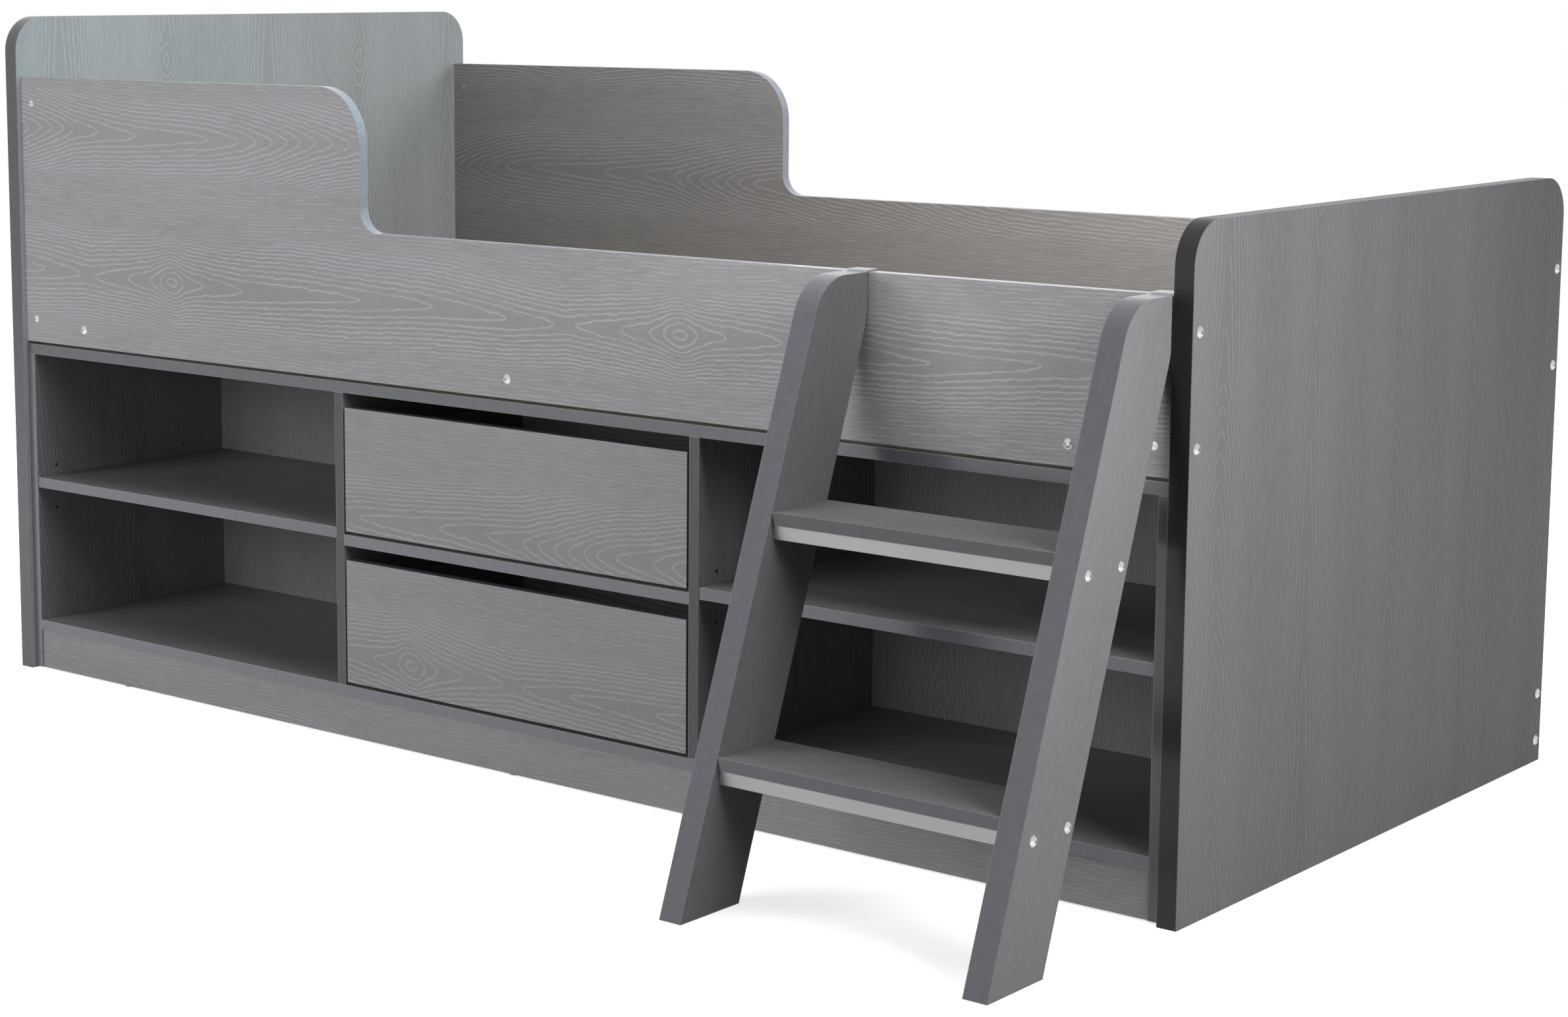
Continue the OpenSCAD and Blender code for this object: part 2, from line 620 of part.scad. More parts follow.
// Ladder
module stringer_outline() {
    a = [front_y(0), 0];
    b = [rear_y(0), 0];
    c = [leg_y, bend_z];
    d = [leg_y, rail_low_z];
    e = [front_y(rail_low_z), rail_low_z];
    bend = round_corner(b, c, d, stringer_bend);
    top = round_corner(d, e, a, stringer_r);
    polygon(concat([a, b], bend, [d], top));
}
function bar_y(z) = [front_y(z) + bar_front, rear_y(z) - bar_rear - bar_d];
function bar_z(z) = z - tread_t - bar_h;
ladder_bolt_l = stringer_t + 22;
module at_ladder_bolts() for (z = tread_z, y = bar_y(z)) {
    translate([lad_x0, y + bar_d / 2, bar_z(z) + bar_h / 2]) rotate([0, 90, 0]) children();
    translate([lad_x1, y + bar_d / 2, bar_z(z) + bar_h / 2]) rotate([0, -90, 0]) children();
}
module ladder_bores() at_ladder_bolts() bolt_bore(ladder_bolt_l);
hook_screw_z = [rail_low_z - hook_leg * 0.35, rail_low_z - hook_leg * 0.75];
hook_screw_l = 26;
stringer_mid = [lad_x0 + stringer_t / 2, lad_x1 - stringer_t / 2];
module at_hook_screws() for (x = stringer_mid, z = hook_screw_z)
    translate([x, leg_y + hook_t, z]) rotate([90, 0, 0]) children();
module ladder_stringer(x) seat() color(dark_foil) difference() {
    board_x(x, stringer_t) stringer_outline();
    ladder_bores();
    at_hook_screws() screw_bore(hook_screw_l);
}
module left_ladder_stringer() ladder_stringer(lad_x0);
module right_ladder_stringer() ladder_stringer(lad_x1 - stringer_t);

tread_screw_l = bar_h + tread_t - 5;
module at_tread_screws() for (z = tread_z, y = bar_y(z), x = [lad_x0 + ladder_w * 0.3, lad_x1 - ladder_w * 0.3])
    translate([x, y + bar_d / 2, bar_z(z)]) children();
module tread(z) seat() color(dark_foil) difference() {
    block([lad_x0 + stringer_t, front_y(z), z - tread_t], [lad_x1 - stringer_t, rear_y(z), z]);
    at_tread_screws() screw_bore(tread_screw_l);
}
module lower_tread() tread(tread_z[0]);
module upper_tread() tread(tread_z[1]);
module tread_bars(z) seat() color(silver) difference() {
    for (y = bar_y(z))
        block([lad_x0 + stringer_t, y, bar_z(z)], [lad_x1 - stringer_t, y + bar_d, bar_z(z) + bar_h]);
    ladder_bores();
    at_tread_screws() screw_bore(tread_screw_l);
}
module lower_tread_bars() tread_bars(tread_z[0]);
module upper_tread_bars() tread_bars(tread_z[1]);
module tread_screws() seat() color(zinc) at_tread_screws() screw(tread_screw_l);
module ladder_bolts() seat() color(zinc) at_ladder_bolts() bolt(ladder_bolt_l);

lip_y = rail_y + rail_t + hook_play;
module hook_outline() {
    translate([leg_y, rail_low_z - hook_leg]) square([hook_t, hook_leg + fit + hook_t]);
    translate([leg_y, rail_low_z + fit]) square([lip_y + hook_t - leg_y, hook_t]);
    translate([lip_y, rail_low_z + fit - hook_lip]) square([hook_t, hook_lip + hook_t]);
}
module ladder_hooks() seat() color(zinc) difference() {
    for (x = stringer_mid) board_x(x - hook_w / 2, hook_w) hook_outline();
    at_hook_screws() screw_bore(hook_screw_l);
}
module hook_screws() seat() color(zinc) at_hook_screws() screw(hook_screw_l);

head_end_panel();
foot_end_panel();
front_side_rail();
back_side_rail();
back_lower_stretcher();
front_slat_batten();
back_slat_batten();
slats();
slat_screws();
frame_bolts();
frame_barrel_nuts();
batten_bolts();
batten_nuts();
cabinet_top();
cabinet_bottom();
cabinet_left_side();
cabinet_right_side();
cabinet_left_divider();
cabinet_right_divider();
left_shelf();
right_shelf();
drawer_shelf();
cabinet_front_plinth();
cabinet_rear_plinth();
cabinet_back_panel();
shelf_pins();
cabinet_screws();
drawer_shelf_dowels();
floor_glides();
lower_drawer_runners();
upper_drawer_runners();
runner_screws();
lower_drawer_front();
lower_drawer_left_side();
lower_drawer_right_side();
lower_drawer_back();
lower_drawer_base();
lower_drawer_corner_blocks();
lower_drawer_screws();
upper_drawer_front();
upper_drawer_left_side();
upper_drawer_right_side();
upper_drawer_back();
upper_drawer_base();
upper_drawer_corner_blocks();
upper_drawer_screws();
left_ladder_stringer();
right_ladder_stringer();
lower_tread();
upper_tread();
lower_tread_bars();
upper_tread_bars();
tread_screws();
ladder_bolts();
ladder_hooks();
hook_screws();
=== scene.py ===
"""Low sleeper bed in grey limed foil: the finishes of its boards, bars, bolts and slats, with a floor, lamps and a
camera. Metres. +X runs to the foot end, -Y to the ladder side, and Z = 0 is the floor."""
from math import cos, radians, sin

import bpy
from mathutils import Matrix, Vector

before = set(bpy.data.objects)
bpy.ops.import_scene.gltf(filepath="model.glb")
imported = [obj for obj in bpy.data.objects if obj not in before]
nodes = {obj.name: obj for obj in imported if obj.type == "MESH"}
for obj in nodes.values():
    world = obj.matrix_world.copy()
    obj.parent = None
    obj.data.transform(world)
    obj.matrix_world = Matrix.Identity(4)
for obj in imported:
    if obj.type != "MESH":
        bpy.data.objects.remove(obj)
scene = bpy.context.scene
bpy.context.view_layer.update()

X, Y, Z = 0, 1, 2

# Camera: the photograph's viewing angle
EYE_DOWN, EYE_TURN = 8.306, 40.487      # degrees below the horizon, and from +Y towards -X
eye = bpy.data.objects.new("eye", bpy.data.cameras.new("eye"))
scene.collection.objects.link(eye)
scene.camera = eye
eye.location = (2.5286, -3.0904, 1.0193)
eye.rotation_euler = (radians(90 - EYE_DOWN), 0, radians(EYE_TURN))
eye.data.sensor_width, eye.data.lens = 36, 68.57
eye.data.shift_x, eye.data.shift_y = 0.1194, -0.0587
eye.data.clip_start, eye.data.clip_end = 0.05, 60


class Wire:
    """One output of a node. Arithmetic on wires and numbers adds Math nodes."""

    def __init__(self, graph, socket):
        self.graph, self.socket = graph, socket

    def __add__(self, other): return self.graph.math("ADD", self, other)
    def __sub__(self, other): return self.graph.math("SUBTRACT", self, other)
    def __rsub__(self, other): return self.graph.math("SUBTRACT", other, self)
    def __mul__(self, other): return self.graph.math("MULTIPLY", self, other)
    def __truediv__(self, other): return self.graph.math("DIVIDE", self, other)


class Graph:
    """A node tree that is built up from nothing."""

    def __init__(self, tree):
        self.tree = tree
        tree.nodes.clear()

    def node(self, kind, settings=None, sockets=None, out=0):
        """Adds a node: settings first, then the values or wires of its sockets. Returns the output asked for."""
        made = self.tree.nodes.new(kind)
        for key, value in (settings or {}).items():
            setattr(made, key, value)
        for key, value in (sockets or {}).items():
            if isinstance(value, Wire):
                self.tree.links.new(value.socket, made.inputs[key])
            else:
                made.inputs[key].default_value = value
        return Wire(self, made.outputs[out]) if len(made.outputs) else None

    def math(self, operation, a, b=0.0):
        return self.node("ShaderNodeMath", {"operation": operation}, {0: a, 1: b})

    def off_half(self, value):
        """How far a value is from half way between two whole numbers."""
        return self.math("ABSOLUTE", self.math("FRACT", value) - 0.5)

    def parts(self, vector):
        """The x, y and z of a vector."""
        outputs = self.node("ShaderNodeSeparateXYZ", sockets={0: vector}).socket.node.outputs
        return [Wire(self, output) for output in outputs]

    def spot(self, a, b, c):
        """The vector of three values."""
        return self.node("ShaderNodeCombineXYZ", sockets={0: a, 1: b, 2: c})

    def noise(self, where, scale=1.0, detail=2.0, rough=0.5):
        """Noise from 0 to 1 with its middle near 0.5."""
        return self.node("ShaderNodeTexNoise", {"normalize": True},
                         {"Vector": where, "Scale": scale, "Detail": detail, "Roughness": rough})

    def ramp(self, value, low, high, to_low=0.0, to_high=1.0):
        """value from low..high to to_low..to_high, eased at both ends and held beyond them."""
        return self.node("ShaderNodeMapRange", {"interpolation_type": "SMOOTHSTEP"},
                         {0: value, 1: low, 2: high, 3: to_low, 4: to_high})

    def curve(self, value, points):
        """Straight lines through points of (value, level). The first is at 0, the last at 1, and levels are 0..1."""
        read = self.node("ShaderNodeValToRGB", sockets={0: value})
        stops = read.socket.node.color_ramp.elements
        for at, level in points[1:-1]:
            stops.new(at).color = (level, level, level, 1)
        for end in (0, -1):
            level = points[end][1]
            stops[end].color = (level, level, level, 1)
        return read

    def blend(self, share, first, second):
        """A colour between two, by share."""
        first, second = (c if isinstance(c, Wire) else (*c, 1) for c in (first, second))
        return self.node("ShaderNodeMix", {"data_type": "RGBA"}, {0: share, 6: first, 7: second}, out=2)

    def arris(self, width):
        """The direction of a face with its edges eased over width, and a mask that is 1 on the very edge."""
        eased = self.node("ShaderNodeBevel", {"samples": 6}, {"Radius": width})
        flat = self.node("ShaderNodeNewGeometry", out="Normal")
        same = self.node("ShaderNodeVectorMath", {"operation": "DOT_PRODUCT"}, {0: eased, 1: flat}, out="Value")
        return eased, self.ramp(same, 0.996, 0.84)

    def relief(self, height, depth, strength, normal):
        """Bumps of that depth in metres on a surface that faces along normal."""
        return self.node("ShaderNodeBump", sockets={"Height": height, "Distance": depth, "Strength": strength,
                                                    "Normal": normal})

    def seen(self):
        """1 where the camera looks, directly, in a mirror or through glass, and 0 for the light on the object."""
        camera = self.node("ShaderNodeLightPath", out="Is Camera Ray")
        outputs = camera.socket.node.outputs
        mirror, glass = Wire(self, outputs["Is Glossy Ray"]), Wire(self, outputs["Is Transmission Ray"])
        return self.math("MAXIMUM", self.math("MAXIMUM", camera, mirror), glass)


class Finish(Graph):
    """A material and its nodes. x, y and z are the place on the piece in metres."""

    def __init__(self, name):
        self.material = bpy.data.materials.new(name)
        self.material.use_nodes = True
        super().__init__(self.material.node_tree)
        self.place = self.node("ShaderNodeTexCoord", out="Object")
        self.x, self.y, self.z = self.parts(self.place)

    def done(self, colour, roughness, normal, metal=0.0, coat=0.0, coat_rough=0.1, specular=0.5):
        shader = self.node("ShaderNodeBsdfPrincipled", sockets={
            "Base Color": colour, "Roughness": roughness, "Metallic": metal, "Specular IOR Level": specular,
            "Coat Weight": coat, "Coat Roughness": coat_rough, "Normal": normal})
        self.node("ShaderNodeOutputMaterial", sockets={0: shader})
        return self.material


def toned(colour, tone):
    return tuple(c * tone for c in colour)


def dress(material, *names):
    for name in names:
        mesh = nodes[name].data
        mesh.materials.clear()
        mesh.materials.append(material)


# Colours as the boards show them in even light
FOIL_MID = (0.270, 0.263, 0.272)
FOIL_DARK = (0.222, 0.214, 0.220)
FOIL_LIME = (0.385, 0.390, 0.412)
BAND = (0.090, 0.092, 0.107)
# PAINTED_ARRIS_HIGHLIGHT is no colour of the boards: it is a pale painted highlight laid along every arris
PAINTED_ARRIS_HIGHLIGHT = (0.36, 0.36, 0.385)
HARDBOARD_DARK, HARDBOARD_PALE = (0.20, 0.135, 0.085), (0.30, 0.215, 0.145)

# The printed foil
RING = 0.0072        # growth ring spacing on the cut face
TIP = 0.01           # radius of a ring's tip
SIDE, SPLAY = 0.85, 5.0      # across the board, rings climb by SIDE times the distance and SPLAY times its square
FLATTEST = 0.02      # least slope of that climb, so that a line keeps a width where the figure is level
STRIP = 0.208        # distance between the middles of two figures
LAST = 922           # millimetres after which the printed figure comes again
REPEAT = LAST / 1000
ARROWS_ON = 0.458    # how far on the arrows' rows start, as a share of the repeat
STEP = 0.004         # share of the repeat over which a figure's slope is taken
DRIFT, FRET = 0.030, 0.0056  # how far the slow waves and the small ones bend a line
COMB = 0.0050        # spacing of the fine lines between the figures
LINE = 0.0019        # distance from a line's middle at which it has faded out
COMBED = 0.85        # how much of the rings the combed lines take over between the figures
INK, STREAK = 0.71, 0.20     # strength of the light lines and of the fine streaks

# A board's edges
ARRIS = 0.0014       # width over which an edge is eased
# painted highlight on the arrises: the two shares below are how far it covers the banding and the print
BAND_PAINTED_HIGHLIGHT, FOIL_PAINTED_HIGHLIGHT = 0.75, 0.40    # how far the pale arris covers the banding and the print
FACE_FROM = 0.6      # how squarely a printed face looks across the board, at least

# How many rings each figure has climbed at a place along it in millimetres: a line's tip lies at each whole number.
# The ovals' figure is a slow climb plus a dip that fades with the distance from its middle line.
OVALS = [(0, 2.2), (148, 3), (368, 4), (500, 5), (639, 6), (723, 7), (741, 7.25), (760, 7), (832, 6.3),
         (LAST, 5.2)]
DIP = [(0, -2.45), (8, -2.36), (16, -1.93), (24, -1.33), (42, -0.83), (66, -0.56), (148, 0), (760, 0), (832, -0.3),
       (877, -0.75), (898, -1.45), (906, -2.0), (914, -2.38), (LAST, -2.45)]
ARROWS = [(tip, k) for k, tip in enumerate((0, 61, 93, 115, 142, 166, 192, 215, 273, 359, 510, 574, 607, 638, 665, 689,
                                            717, 749, 783, 833, 863, 893, LAST))]


def climbed(f, figure, turned):
    """The rings that a figure has climbed at a share of its repeat."""
    low, high = min(level for tip, level in figure), max(level for tip, level in figure)
    points = [(tip / LAST, (level - low) / (high - low)) for tip, level in figure]
    return f.curve(turned, points) * float(high - low) + low


def limed_grain(f, along, across, shift, middle, turn):
    """The printed figure of flat-sawn limed oak: rows of ovals and rows of arrows take turns across the board. A
    ring's number at a place is its distance from the row's middle line, rounded at the line, plus the climb of the
    figure along the board. Dividing by the number's own slope gives the distance to the nearest ring in metres, so
    that a line is as wide in the open figure as at its sides. Fine combed lines fill the board between the rows.
    Returns the light lines, the fine streaks and a slow cloud, each from 0 to 1."""
    u, v = along * turn + shift, across - middle
    drift = f.noise(f.spot(u * 2.6, v * 5.0, shift), 1.0, 1.0) - 0.5
    fret = f.noise(f.spot(u * 75, v * 85, shift)) - 0.5
    bent = v + drift * DRIFT + fret * FRET

    row = bent / STRIP + 0.5
    arrows = f.math("MODULO", f.math("ABSOLUTE", f.math("FLOOR", row)), 2.0)
    off = f.off_half(row) * STRIP
    turned = f.math("FRACT", (u + drift * 0.05) / REPEAT + arrows * ARROWS_ON)
    fade = f.ramp(off, 0.012, 0.075, 1.0, 0.22)
    climbs = []
    for step in (0.0, STEP):
        at = turned + step
        ovals = climbed(f, OVALS, at) + climbed(f, DIP, at) * fade
        climbs.append(ovals + (climbed(f, ARROWS, at) - ovals) * arrows)

    round_off = f.math("SQRT", off * off + TIP ** 2)
    number = ((round_off - TIP) * SIDE + off * off * SPLAY) / RING + climbs[0] + 0.5
    across_slope = off / round_off * SIDE + off * (2 * SPLAY)
    along_slope = (climbs[1] - climbs[0]) * (RING / (STEP * REPEAT))
    slope = f.math("SQRT", across_slope * across_slope + along_slope * along_slope + FLATTEST ** 2)
    from_ring = f.off_half(number) * RING / slope
    from_comb = f.off_half(bent / COMB) * COMB

    dash = f.noise(f.spot(u * 30, bent * 190, shift))
    between = f.ramp(off + drift * 0.05, 0.050, 0.080) * COMBED
    ringed = f.ramp(from_ring, LINE, 0.0003) * f.ramp(dash, 0.25, 0.55, 0.40, 1.0) * (1.0 - between)
    combed = f.ramp(from_comb, LINE, 0.0004) * f.ramp(dash, 0.34, 0.62, 0.08, 0.64) * (between + (1 - COMBED))
    streak = f.ramp(f.noise(f.spot(u * 80 + 3, v * 620, shift), rough=0.6), 0.44, 0.72)
    cloud = f.noise(f.spot(u * 1.3, v * 4.0, shift + 7))
    return f.math("MAXIMUM", ringed, combed), streak, cloud


def foil_board(name, face, grain, shift, middle, turn=1, tone=1.0, painted_edge_light=1.0, ink=1.0, sheen=0.3,
               lean=0.0, raw_back=False):
    """A board with the printed foil on its two faces and plain slate banding on its edges.
    face is the axis across the board and grain is the axis of its grain. The figure starts shift metres on and lies
    round the line that is middle metres from the origin, and a turn of -1 runs it backwards. tone is how light the
    foil is, partly the board's own tone and partly painted light and painted shade for the light that falls on it, and
    painted_edge_light is how light the banding is painted for the light and shade on the edges. ink is how strong the
    lines are, and sheen how glossy it all is. The grain leans by lean in Y and Z, and raw_back leaves plain hardboard
    on the far face."""
    mid, dark, lime = (toned(colour, tone) for colour in (FOIL_MID, FOIL_DARK, FOIL_LIME))
    # painted_edge_light is painted light and painted shade: it makes each board's banding as light or as dark as the
    # light on it.
    slate, pale_slate = toned(BAND, painted_edge_light), toned(BAND, painted_edge_light * 1.12)
    f = Finish(name)
    place = [f.x, f.y, f.z]
    along, across = place[grain], place[3 - face - grain]
    if lean:
        along, across = f.z * cos(lean) + f.y * sin(lean), f.y * cos(lean) - f.z * sin(lean)
    line, streak, cloud = limed_grain(f, along, across, shift, middle, turn)
    pores = f.noise(f.spot(along * 40, across * 1500, place[face] * 300), 1.0, 1.0)
    ground = f.blend(f.ramp(cloud, 0.25, 0.75), dark, mid)
    ground = f.blend(streak * STREAK, ground, lime)
    printed = f.blend(line * (INK * ink), ground, lime)

    eased, edge = f.arris(ARRIS)
    facing = f.parts(f.node("ShaderNodeTexCoord", out="Normal"))[face]
    on_face = f.math("GREATER_THAN", f.math("ABSOLUTE", facing), FACE_FROM)
    scuff = f.noise(f.place, 90.0)
    # A pale highlight is painted along every arris, over the banding and over the print.
    band = f.blend(edge * BAND_PAINTED_HIGHLIGHT, f.blend(f.ramp(scuff, 0.3, 0.7), slate, pale_slate), PAINTED_ARRIS_HIGHLIGHT)
    printed = f.blend(edge * FOIL_PAINTED_HIGHLIGHT, printed, PAINTED_ARRIS_HIGHLIGHT)
    colour = f.blend(on_face, band, printed)
    if raw_back:
        fibre = f.noise(f.place, 700.0, 3.0, 0.7)
        raw = f.blend(f.ramp(fibre, 0.3, 0.7), HARDBOARD_DARK, HARDBOARD_PALE)
        colour = f.blend(f.math("GREATER_THAN", facing, 0.5), colour, raw)
    height = (line * 0.5 + streak * 0.35 + pores * 0.5) * on_face
    return f.done(colour, streak * 0.06 + 0.44, f.relief(height, 0.0004, 0.35, eased),
                  coat=(1.0 - on_face) * min(1.0, painted_edge_light ** 0.5), coat_rough=0.2, specular=sheen)


LADDER_LEAN = radians(20)

# The name of a CAD node, then what foil_board takes after its own name
# tone and painted_edge_light carry painted light and painted shade as well as a little board-to-board tone: the
# shelves, cabinet bottom, treads, left stringer and back rail are painted darker for the shade on them, and the right
# stringer is painted lighter for the light on it. painted_edge_light paints a pale highlight on the rails' top edges,
# and painted shade on the fronts of the treads and on the front edges of the foot panel, the dividers and the right
# side.
BOARDS = [
    ("front_side_rail", Y, X, 0.635, 0.599, 1, 1.10, 2.5),
    ("back_side_rail", Y, X, -0.678, 0.498, -1, 0.66, 2.5),
    ("back_lower_stretcher", Y, X, 0.22, 0.06),
    ("lower_drawer_front", Y, X, -0.178, 0.122, -1, 0.90),
    ("upper_drawer_front", Y, X, -0.178, 0.100, -1, 0.93),
    ("cabinet_front_plinth", Y, X, 0.90, -0.06, 1, 0.88),
    ("cabinet_rear_plinth", Y, X, 0.31, -0.05, 1, 0.95),
    ("lower_drawer_back", Y, X, 0.41, 0.15),
    ("upper_drawer_back", Y, X, 0.77, 0.37),
    ("cabinet_top", Z, X, 0.15, -0.10, 1, 0.85, 0.70),
    ("cabinet_bottom", Z, X, 0.62, -0.20, 1, 0.55),
    ("left_shelf", Z, X, 0.27, -0.06, 1, 0.53, 0.85),
    ("right_shelf", Z, X, 0.84, -0.16, 1, 0.53, 0.85),
    ("drawer_shelf", Z, X, 0.47, -0.12, 1, 0.80),
    ("upper_tread", Z, X, 0.07, -0.35, 1, 0.60, 0.38),
    ("lower_tread", Z, X, 0.52, -0.62, 1, 0.59, 0.60),
    ("lower_drawer_left_side", X, Y, 0.13, 0.15),
    ("lower_drawer_right_side", X, Y, 0.58, 0.15),
    ("upper_drawer_left_side", X, Y, 0.36, 0.36),
    ("upper_drawer_right_side", X, Y, 0.74, 0.36),
    ("head_end_panel", X, Z, -0.90, -0.021, 1, 1.15, 0.50, 0.65),
    ("foot_end_panel", X, Z, 0.12, -0.032, 1, 0.95, 0.18, 0.7, 0.08),
    ("cabinet_left_side", X, Z, 0.44, -0.10, 1, 0.65),
    ("cabinet_right_side", X, Z, 0.83, -0.15, 1, 0.85, 0.45),
    ("cabinet_left_divider", X, Z, 0.24, -0.12, 1, 0.78, 0.28),
    ("cabinet_right_divider", X, Z, 0.67, -0.18, 1, 0.78, 0.28),
    ("left_ladder_stringer", X, Z, 0.20, -0.45, 1, 0.60, 0.95, 0.5, 0.08, LADDER_LEAN),
    ("right_ladder_stringer", X, Z, 0.66, -0.45, 1, 1.15, 0.95, 0.5, 0.08, LADDER_LEAN),
]
for name, *how in BOARDS:
    dress(foil_board("foil_" + name, *how), name)
# The back panel's tone of 0.60 is painted shade for the dark backs of the bays.
dress(foil_board("foil_back_panel", Y, Z, 0.35, -0.62, 1, 0.60, ink=0.7, raw_back=True), "cabinet_back_panel")
dress(foil_board("foil_lower_base", Z, X, 0.19, -0.10), "lower_drawer_base")
dress(foil_board("foil_upper_base", Z, X, 0.71, -0.14), "upper_drawer_base")

PINE_EARLY, PINE_LATE = (0.70, 0.50, 0.29), (0.50, 0.29, 0.13)
PINE_KNOT, PINE_ARRIS = (0.17, 0.075, 0.03), (0.80, 0.64, 0.44)


def pine(name, grain):
    """Planed pine: warm growth lines that run along X or Y, with a few knots."""
    f = Finish(name)
    place = [f.x, f.y]
    along, across = place[grain], place[1 - grain]
    knots = f.node("ShaderNodeTexVoronoi", {"feature": "F1"},
                   {"Vector": f.spot(along * 2.3, across * 7.6, 0.0), "Scale": 1.0, "Randomness": 1.0}, out="Distance")
    near = f.ramp(knots, 0.16, 0.03)
    sway = f.noise(f.spot(along * 1.6, across * 3.0, f.z * 4)) - 0.5
    rings = f.math("SINE", (across + sway * 0.09 + f.z * 0.6) * 520 + near * 9)
    fine = f.noise(f.spot(along * 12, across * 900, f.z * 900))
    late = f.ramp(rings, 0.1, 1.0) * 0.6 + f.ramp(fine, 0.5, 0.75) * 0.25
    colour = f.blend(late, PINE_EARLY, PINE_LATE)
    colour = f.blend(f.ramp(knots, 0.060, 0.035), colour, PINE_KNOT)
    eased, edge = f.arris(0.0012)
    colour = f.blend(edge * 0.35, colour, PINE_ARRIS)
    return f.done(colour, f.ramp(fine, 0.3, 0.7, 0.48, 0.60), f.relief(late + fine * 0.5, 0.0005, 0.25, eased))


dress(pine("pine_slats", Y), "slats")
dress(pine("pine_battens", X), "front_slat_batten", "back_slat_batten", "drawer_shelf_dowels")

ZINC, SCREW_ZINC, RUBBED_ZINC = (0.63, 0.64, 0.65), (0.74, 0.73, 0.70), (0.82, 0.82, 0.83)


def plated(name, tint, rough, width):
    """Zinc-plated steel: fine clouded sheen, brighter where the edges are rubbed over width."""
    f = Finish(name)
    cloud = f.noise(f.place, 420.0, 3.0, 0.6)
    speck = f.noise(f.place, 2600.0)
    eased, edge = f.arris(width)
    colour = f.blend(edge * 0.6, f.blend(f.ramp(cloud, 0.3, 0.7), toned(tint, 0.82), tint), RUBBED_ZINC)
    return f.done(colour, f.ramp(cloud, 0.3, 0.7, rough - 0.05, rough + 0.08), f.relief(speck, 0.00005, 0.3, eased),
                  metal=1.0)


dress(plated("zinc", ZINC, 0.32, 0.0006), "frame_bolts", "batten_bolts", "ladder_bolts", "frame_barrel_nuts",
      "batten_nuts", "shelf_pins", "ladder_hooks")
dress(plated("zinc_screws", SCREW_ZINC, 0.30, 0.0004), "slat_screws", "cabinet_screws", "runner_screws",
      "lower_drawer_screws", "upper_drawer_screws", "tread_screws", "hook_screws")

BAR_DARK, BAR_PALE, BAR_ARRIS = (0.290, 0.286, 0.290), (0.318, 0.314, 0.318), (0.66, 0.66, 0.67)


def silver_bar():
    """Satin silver bars: the brush marks run along X."""
    f = Finish("silver_bar")
    brush = f.noise(f.spot(f.x * 6, f.y * 2400, f.z * 2400), 1.0, 3.0, 0.6)
    cloud = f.noise(f.spot(f.x * 5, f.y * 30, f.z * 30))
    eased, edge = f.arris(0.0009)
    colour = f.blend(edge * 0.6, f.blend(f.ramp(brush, 0.25, 0.75), BAR_DARK, BAR_PALE), BAR_ARRIS)
    return f.done(colour, f.ramp(cloud, 0.3, 0.7, 0.38, 0.46), f.relief(brush, 0.0001, 0.08, eased), metal=0.85)


dress(silver_bar(), "upper_tread_bars", "lower_tread_bars")

WHITE_PLASTIC = (0.72, 0.71, 0.68)


def moulded(name, tint):
    """Moulded plastic with a fine even texture."""
    f = Finish(name)
    grain = f.noise(f.place, 1400.0)
    cloud = f.noise(f.place, 40.0)
    eased, edge = f.arris(0.0005)
    colour = f.blend(f.ramp(cloud, 0.3, 0.7), toned(tint, 0.93), tint)
    colour = f.blend(edge * 0.5, colour, toned(tint, 1.1))
    return f.done(colour, f.ramp(grain, 0.3, 0.7, 0.42, 0.52), f.relief(grain, 0.00008, 0.25, eased))


dress(moulded("white_plastic", WHITE_PLASTIC), "floor_glides", "lower_drawer_runners", "upper_drawer_runners",
      "lower_drawer_corner_blocks", "upper_drawer_corner_blocks")

# Floor: white to the camera, a little less so round the bed, and grey for the light that it sends back to the bed
FLOOR_LINES = range(-20, 21, 5)
FLOOR_BOUNCE = (0.150, 0.157, 0.172)
FLOOR_DARK, FLOOR_PALE = (0.80, 0.80, 0.80), (0.84, 0.84, 0.84)
SHADE, SHADE_FROM, SHADE_TO = 0.66, 1.2, 3.2     # glow round the bed, and where it starts and ends growing to 1
WHITE = (1, 1, 1, 1)

side = len(FLOOR_LINES)
corners = [(x, y, 0) for x in FLOOR_LINES for y in FLOOR_LINES]
squares = [(k, k + side, k + side + 1, k + 1) for k in range(side * (side - 1)) if (k + 1) % side]
mesh = bpy.data.meshes.new("floor")
mesh.from_pydata(corners, [], squares)
floor = bpy.data.objects.new("floor", mesh)
scene.collection.objects.link(floor)
f = Finish("pale_floor")
seen = f.seen()
fleck = f.noise(f.place, 60.0)
shown = f.blend(f.ramp(fleck, 0.3, 0.7), FLOOR_DARK, FLOOR_PALE)
matt = f.node("ShaderNodeBsdfDiffuse", sockets={"Color": f.blend(seen, FLOOR_BOUNCE, shown)})
far = f.ramp(f.math("SQRT", f.x * f.x + f.y * f.y), SHADE_FROM, SHADE_TO, SHADE, 1.0)
glow = f.node("ShaderNodeEmission", sockets={"Color": WHITE, "Strength": seen * far})
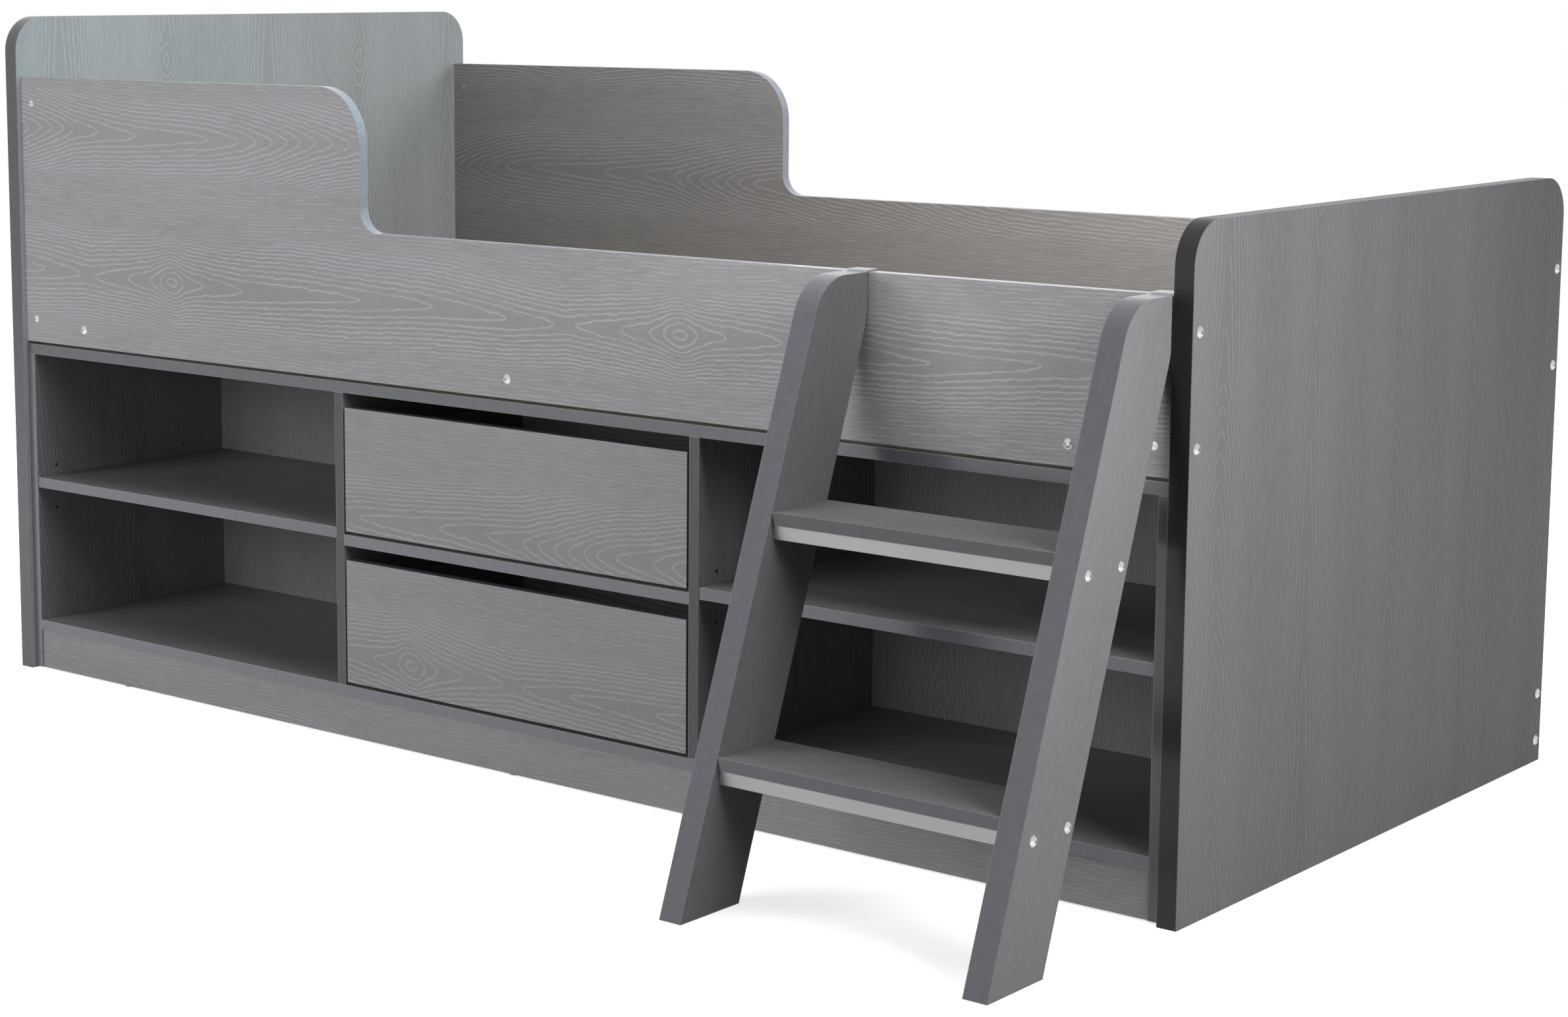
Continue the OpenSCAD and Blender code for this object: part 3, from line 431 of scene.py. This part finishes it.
f.node("ShaderNodeOutputMaterial", sockets={0: f.node("ShaderNodeAddShader", sockets={0: matt, 1: glow})})
floor.data.materials.append(f.material)

# World: white to the camera, and a faint cool light on the bed
COOL, FAINT = (0.90, 0.96, 1.10, 1), 0.04
world = bpy.data.worlds.new("studio")
scene.world = world
world.use_nodes = True
studio = Graph(world.node_tree)
soft = studio.node("ShaderNodeBackground", sockets={0: COOL, 1: FAINT})
white = studio.node("ShaderNodeBackground", sockets={0: WHITE, 1: 1.0})
either = studio.node("ShaderNodeMixShader", sockets={0: studio.seen(), 1: soft, 2: white})
studio.node("ShaderNodeOutputWorld", sockets={0: either})


def lamp(name, place, aim, size, power, colour=(1, 1, 1), spread=180):
    """A soft square lamp at a place, turned to the point that it aims at. spread is its beam in degrees."""
    light = bpy.data.lights.new(name, "AREA")
    light.size, light.energy, light.color, light.spread = size, power, colour, radians(spread)
    made = bpy.data.objects.new(name, light)
    scene.collection.objects.link(made)
    made.location = place
    made.rotation_mode = "QUATERNION"
    made.rotation_quaternion = (Vector(place) - Vector(aim)).to_track_quat("Z", "Y")
    made.visible_glossy, made.visible_camera = False, False


lamp("key", (-1.75, -3.35, 1.4), (0, 0, 0.5), 1.6, 60)
lamp("front", (0, -3.8, 0.9), (0, 0, 0.5), 1.6, 37)
lamp("side", (2.1, -0.7, 1.25), (0.98, -0.45, 0.6), 0.8, 20.5)
lamp("inner", (0.55, -0.35, 1.3), (0.4, 0.47, 0.58), 0.4, 5.5, (1, 0.99, 0.96), 120)
lamp("over", (0.75, -0.2, 1.9), (-0.95, -0.4, 0.98), 1.0, 7.0, (0.62, 0.94, 0.97), 90)
lamp("top", (-0.3, -0.3, 2.9), (-0.3, 0, 0.5), 1.6, 26, (1, 0.97, 0.93))
lamp("back", (0.6, 2.9, 2.4), (0, 0, 0.6), 1.8, 70, (0.88, 0.96, 1))
lamp("left", (-3.2, 0.4, 1.5), (-0.98, 0, 0.5), 1.2, 26)

scene.view_settings.view_transform = "Standard"
